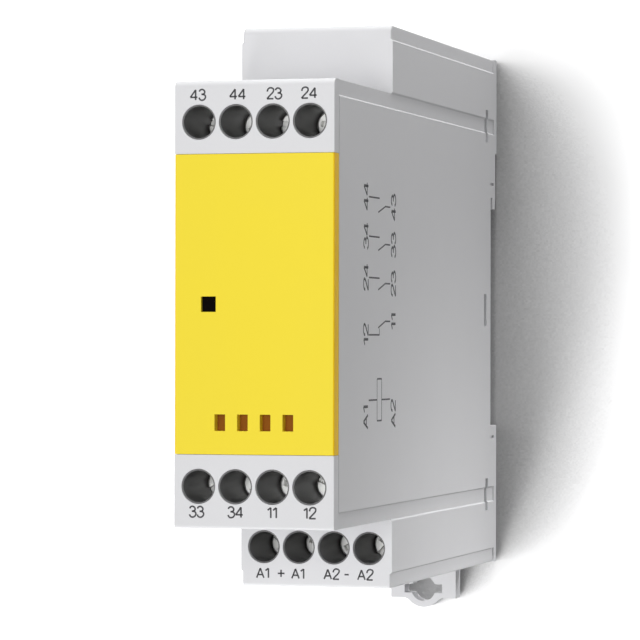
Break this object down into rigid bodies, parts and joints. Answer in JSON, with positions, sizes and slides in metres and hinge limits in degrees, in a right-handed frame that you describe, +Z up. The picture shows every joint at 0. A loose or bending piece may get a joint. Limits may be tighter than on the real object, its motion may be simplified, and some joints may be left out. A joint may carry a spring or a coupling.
{
  "type": "safety relay",
  "caption": "Narrow rail-mounted safety relay module with a stepped housing, coloured front cover, three rows of screw terminals and a sprung rail foot.",
  "frame": {"origin": "middle of the 35 mm rail on the plane where the rail's front face seats, mid-width of the module", "axes": "+X across the module along the rail, +Y from the front face towards the rail, +Z up"},
  "size_m": [0.0226, 0.098, 0.0879],
  "materials": {
    "housing_grey": "light grey moulded plastic, fine satin",
    "base_grey": "light grey moulded plastic",
    "foot_grey": "light grey moulded plastic",
    "cover_yellow": "yellow moulded plastic, satin",
    "smoked_lens": "dark clear plastic",
    "terminal_black": "dark moulded plastic",
    "marker_brown": "dark brown moulded strip",
    "lamp_green": "tinted lamp body",
    "spring_steel": "bright wire",
    "board_green": "solder-masked board",
    "part_black": "black sleeve",
    "part_blue": "lacquered disc",
    "relay_black": "dark moulded plastic",
    "bobbin_white": "natural moulded plastic",
    "copper_wire": "enamelled copper",
    "soft_iron": "plated iron",
    "contact_alloy": "copper alloy",
    "tinned_copper": "tinned strip",
    "screw_zinc": "bright zinc plate",
    "cage_steel": "zinc-plated steel"
  },
  "bodies": {
    "module": {"housing_hood": "housing_grey", "rear_base": "base_grey", "front_cover": "cover_yellow", "light_pipe": "smoked_lens", "status_led": "lamp_green", "foot_spring": "spring_steel", "main_board": "board_green", "capacitor": "part_black", "surge_absorber": "part_blue", "board_chips": "part_black", "relay_base": "relay_black", "relay_cover": "relay_black", "coil_bobbin": "bobbin_white", "coil_winding": "copper_wire", "coil_core": "soft_iron", "yoke": "soft_iron", "moving_contacts": "contact_alloy", "fixed_contacts": "contact_alloy", "coil_pins": "tinned_copper", "bars_top": "tinned_copper", "bars_bottom": "tinned_copper", "bars_coil": "tinned_copper", "terminal_block_top": "terminal_black", "terminal_block_bottom": "terminal_black", "terminal_block_coil": "terminal_black", "marker_strip": "marker_brown"},
    "foot": {"rail_foot": "foot_grey"},
    "armature": {"armature": "soft_iron"},
    "card": {"actuating_card": "bobbin_white"},
    "screw_top_1": {"screw_top_1": "screw_zinc"},
    "cage_top_1": {"cage_top_1": "cage_steel"},
    "screw_top_2": {"screw_top_2": "screw_zinc"},
    "cage_top_2": {"cage_top_2": "cage_steel"},
    "screw_top_3": {"screw_top_3": "screw_zinc"},
    "cage_top_3": {"cage_top_3": "cage_steel"},
    "screw_top_4": {"screw_top_4": "screw_zinc"},
    "cage_top_4": {"cage_top_4": "cage_steel"},
    "screw_bottom_1": {"screw_bottom_1": "screw_zinc"},
    "cage_bottom_1": {"cage_bottom_1": "cage_steel"},
    "screw_bottom_2": {"screw_bottom_2": "screw_zinc"},
    "cage_bottom_2": {"cage_bottom_2": "cage_steel"},
    "screw_bottom_3": {"screw_bottom_3": "screw_zinc"},
    "cage_bottom_3": {"cage_bottom_3": "cage_steel"},
    "screw_bottom_4": {"screw_bottom_4": "screw_zinc"},
    "cage_bottom_4": {"cage_bottom_4": "cage_steel"},
    "screw_coil_1": {"screw_coil_1": "screw_zinc"},
    "cage_coil_1": {"cage_coil_1": "cage_steel"},
    "screw_coil_2": {"screw_coil_2": "screw_zinc"},
    "cage_coil_2": {"cage_coil_2": "cage_steel"},
    "screw_coil_3": {"screw_coil_3": "screw_zinc"},
    "cage_coil_3": {"cage_coil_3": "cage_steel"},
    "screw_coil_4": {"screw_coil_4": "screw_zinc"},
    "cage_coil_4": {"cage_coil_4": "cage_steel"}
  },
  "joints": [
    {"name": "screw_top_1_turn", "type": "hinge", "parent": "module", "child": "screw_top_1", "pos_m": [-0.00783, -0.083, 0.0247], "axis": [0, 1, 0], "range_deg": [0, 2160]},
    {"name": "cage_top_1_rise", "type": "slide", "parent": "module", "child": "cage_top_1", "axis": [0, -1, 0], "range_m": [0, 0.003]},
    {"name": "screw_top_2_turn", "type": "hinge", "parent": "module", "child": "screw_top_2", "pos_m": [-0.00261, -0.083, 0.0247], "axis": [0, 1, 0], "range_deg": [0, 2160]},
    {"name": "cage_top_2_rise", "type": "slide", "parent": "module", "child": "cage_top_2", "axis": [0, -1, 0], "range_m": [0, 0.003]},
    {"name": "screw_top_3_turn", "type": "hinge", "parent": "module", "child": "screw_top_3", "pos_m": [0.00261, -0.083, 0.0247], "axis": [0, 1, 0], "range_deg": [0, 2160]},
    {"name": "cage_top_3_rise", "type": "slide", "parent": "module", "child": "cage_top_3", "axis": [0, -1, 0], "range_m": [0, 0.003]},
    {"name": "screw_top_4_turn", "type": "hinge", "parent": "module", "child": "screw_top_4", "pos_m": [0.00783, -0.083, 0.0247], "axis": [0, 1, 0], "range_deg": [0, 2160]},
    {"name": "cage_top_4_rise", "type": "slide", "parent": "module", "child": "cage_top_4", "axis": [0, -1, 0], "range_m": [0, 0.003]},
    {"name": "screw_bottom_1_turn", "type": "hinge", "parent": "module", "child": "screw_bottom_1", "pos_m": [-0.00783, -0.083, -0.0247], "axis": [0, 1, 0], "range_deg": [0, 2160]},
    {"name": "cage_bottom_1_rise", "type": "slide", "parent": "module", "child": "cage_bottom_1", "axis": [0, -1, 0], "range_m": [0, 0.003]},
    {"name": "screw_bottom_2_turn", "type": "hinge", "parent": "module", "child": "screw_bottom_2", "pos_m": [-0.00261, -0.083, -0.0247], "axis": [0, 1, 0], "range_deg": [0, 2160]},
    {"name": "cage_bottom_2_rise", "type": "slide", "parent": "module", "child": "cage_bottom_2", "axis": [0, -1, 0], "range_m": [0, 0.003]},
    {"name": "screw_bottom_3_turn", "type": "hinge", "parent": "module", "child": "screw_bottom_3", "pos_m": [0.00261, -0.083, -0.0247], "axis": [0, 1, 0], "range_deg": [0, 2160]},
    {"name": "cage_bottom_3_rise", "type": "slide", "parent": "module", "child": "cage_bottom_3", "axis": [0, -1, 0], "range_m": [0, 0.003]},
    {"name": "screw_bottom_4_turn", "type": "hinge", "parent": "module", "child": "screw_bottom_4", "pos_m": [0.00783, -0.083, -0.0247], "axis": [0, 1, 0], "range_deg": [0, 2160]},
    {"name": "cage_bottom_4_rise", "type": "slide", "parent": "module", "child": "cage_bottom_4", "axis": [0, -1, 0], "range_m": [0, 0.003]},
    {"name": "screw_coil_1_turn", "type": "hinge", "parent": "module", "child": "screw_coil_1", "pos_m": [-0.00783, -0.0518, -0.0346], "axis": [0, 1, 0], "range_deg": [0, 2160]},
    {"name": "cage_coil_1_rise", "type": "slide", "parent": "module", "child": "cage_coil_1", "axis": [0, -1, 0], "range_m": [0, 0.003]},
    {"name": "screw_coil_2_turn", "type": "hinge", "parent": "module", "child": "screw_coil_2", "pos_m": [-0.00261, -0.0518, -0.0346], "axis": [0, 1, 0], "range_deg": [0, 2160]},
    {"name": "cage_coil_2_rise", "type": "slide", "parent": "module", "child": "cage_coil_2", "axis": [0, -1, 0], "range_m": [0, 0.003]},
    {"name": "screw_coil_3_turn", "type": "hinge", "parent": "module", "child": "screw_coil_3", "pos_m": [0.00261, -0.0518, -0.0346], "axis": [0, 1, 0], "range_deg": [0, 2160]},
    {"name": "cage_coil_3_rise", "type": "slide", "parent": "module", "child": "cage_coil_3", "axis": [0, -1, 0], "range_m": [0, 0.003]},
    {"name": "screw_coil_4_turn", "type": "hinge", "parent": "module", "child": "screw_coil_4", "pos_m": [0.00783, -0.0518, -0.0346], "axis": [0, 1, 0], "range_deg": [0, 2160]},
    {"name": "cage_coil_4_rise", "type": "slide", "parent": "module", "child": "cage_coil_4", "axis": [0, -1, 0], "range_m": [0, 0.003]},
    {"name": "foot_slide", "type": "slide", "parent": "module", "child": "foot", "axis": [0, 0, 1], "range_m": [-0.0035, 0], "stiffness_N_per_m": 1500, "springref_m": 0.004, "deforming": ["foot_spring"]},
    {"name": "armature_hinge", "type": "hinge", "parent": "module", "child": "armature", "pos_m": [0.00077, -0.02565, 0.0123], "axis": [1, 0, 0], "range_deg": [0, 5.5], "stiffness_Nm_per_rad": 0.05, "springref_deg": -5.73},
    {"name": "card_slide", "type": "slide", "parent": "module", "child": "card", "axis": [0, 0, 1], "range_m": [0, 0.000691], "deforming": ["moving_contacts"]}
  ],
  "couplings": [
    {"joint": "screw_top_1_turn", "follows": "cage_top_1_rise", "rad_per_m": 12566},
    {"joint": "screw_top_2_turn", "follows": "cage_top_2_rise", "rad_per_m": 12566},
    {"joint": "screw_top_3_turn", "follows": "cage_top_3_rise", "rad_per_m": 12566},
    {"joint": "screw_top_4_turn", "follows": "cage_top_4_rise", "rad_per_m": 12566},
    {"joint": "screw_bottom_1_turn", "follows": "cage_bottom_1_rise", "rad_per_m": 12566},
    {"joint": "screw_bottom_2_turn", "follows": "cage_bottom_2_rise", "rad_per_m": 12566},
    {"joint": "screw_bottom_3_turn", "follows": "cage_bottom_3_rise", "rad_per_m": 12566},
    {"joint": "screw_bottom_4_turn", "follows": "cage_bottom_4_rise", "rad_per_m": 12566},
    {"joint": "screw_coil_1_turn", "follows": "cage_coil_1_rise", "rad_per_m": 12566},
    {"joint": "screw_coil_2_turn", "follows": "cage_coil_2_rise", "rad_per_m": 12566},
    {"joint": "screw_coil_3_turn", "follows": "cage_coil_3_rise", "rad_per_m": 12566},
    {"joint": "screw_coil_4_turn", "follows": "cage_coil_4_rise", "rad_per_m": 12566},
    {"joint": "armature_hinge", "follows": "card_slide", "rad_per_m": 138.89}
  ]
}
